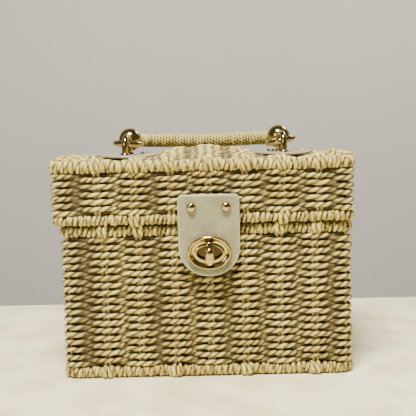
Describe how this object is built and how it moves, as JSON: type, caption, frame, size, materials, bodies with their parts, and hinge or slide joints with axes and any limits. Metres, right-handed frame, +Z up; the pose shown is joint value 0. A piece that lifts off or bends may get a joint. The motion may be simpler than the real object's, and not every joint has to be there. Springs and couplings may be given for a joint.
{
  "type": "woven box handbag",
  "caption": "Box-shaped handbag woven from twisted paper cord, with a hinged lid, a leather flap, a turn lock and a wrapped top handle on metal arches.",
  "frame": {"origin": "middle of the base, on the face that the bag stands on", "axes": "+X along the bag's width, to the right seen from the front; the front faces -Y; +Z up"},
  "size_m": [0.2112, 0.1227, 0.1739],
  "materials": {
    "straw_cord": "twisted two-ply paper cord, pale straw yellow, slightly waxy",
    "frame_steel": "plain frame wire, backing plates and nuts",
    "pale_gold": "polished pale gold plating",
    "flap_leather": "smooth light grey-beige leatherette",
    "patch_leather": "smooth grey-taupe leatherette",
    "grip_core": "plain tube inside the wrapping"
  },
  "bodies": {
    "basket": {"base_edge_wrap": "straw_cord", "base_ring_wire": "frame_steel", "base_stakes": "straw_cord", "base_weave": "straw_cord", "body_back_stakes": "straw_cord", "body_back_weave": "straw_cord", "body_corner_posts": "frame_steel", "body_front_stakes": "straw_cord", "body_front_weave": "straw_cord", "body_left_stakes": "straw_cord", "body_left_weave": "straw_cord", "body_right_stakes": "straw_cord", "body_right_weave": "straw_cord", "body_rim_wire": "frame_steel", "body_rim_wrap": "straw_cord", "hinge_lashing_inner_left": "straw_cord", "hinge_lashing_inner_right": "straw_cord", "hinge_lashing_outer_left": "straw_cord", "hinge_lashing_outer_right": "straw_cord", "lock_base_plate": "pale_gold", "lock_inside_plate": "frame_steel"},
    "lid": {"arch_backing_plate_left": "frame_steel", "arch_backing_plate_right": "frame_steel", "arch_nuts": "frame_steel", "flap_anchor": "flap_leather", "flap_rivet_washers": "pale_gold", "flap_rivets": "pale_gold", "handle_arch_left": "pale_gold", "handle_arch_right": "pale_gold", "handle_patch_left": "patch_leather", "handle_patch_right": "patch_leather", "lid_back_stakes": "straw_cord", "lid_back_weave": "straw_cord", "lid_corner_posts": "frame_steel", "lid_front_stakes": "straw_cord", "lid_front_weave": "straw_cord", "lid_left_stakes": "straw_cord", "lid_left_weave": "straw_cord", "lid_right_stakes": "straw_cord", "lid_right_weave": "straw_cord", "lid_rim_wire": "frame_steel", "lid_rim_wrap": "straw_cord", "lid_top_stakes": "straw_cord", "lid_top_weave": "straw_cord", "lid_top_wire": "frame_steel", "lid_top_wrap": "straw_cord"},
    "flap": {"flap_tongue": "flap_leather", "lock_eyelet": "pale_gold", "lock_eyelet_back_plate": "pale_gold"},
    "knob": {"lock_knob": "pale_gold"},
    "handle": {"handle_cap_left": "pale_gold", "handle_cap_right": "pale_gold", "handle_core": "grip_core", "handle_wrap": "straw_cord"}
  },
  "joints": [
    {"name": "lid_hinge", "type": "hinge", "parent": "basket", "child": "lid", "pos_m": [0, 0.0539, 0.10755], "axis": [-1, 0, 0], "range_deg": [0, 110], "deforming": ["hinge_lashing_inner_left", "hinge_lashing_inner_right", "hinge_lashing_outer_left", "hinge_lashing_outer_right"]},
    {"name": "flap_bend", "type": "hinge", "parent": "lid", "child": "flap", "pos_m": [0.002, -0.0582, 0.11285], "axis": [-1, 0, 0], "range_deg": [0, 75], "deforming": ["flap_tongue", "lock_eyelet", "lock_eyelet_back_plate"]},
    {"name": "knob_turn", "type": "hinge", "parent": "basket", "child": "knob", "pos_m": [0.002, -0.06, 0.0888], "axis": [0, -1, 0], "range_deg": [0, 90]},
    {"name": "handle_swing", "type": "hinge", "parent": "lid", "child": "handle", "pos_m": [0, 0, 0.1621], "axis": [1, 0, 0], "range_deg": [0, 174]}
  ]
}
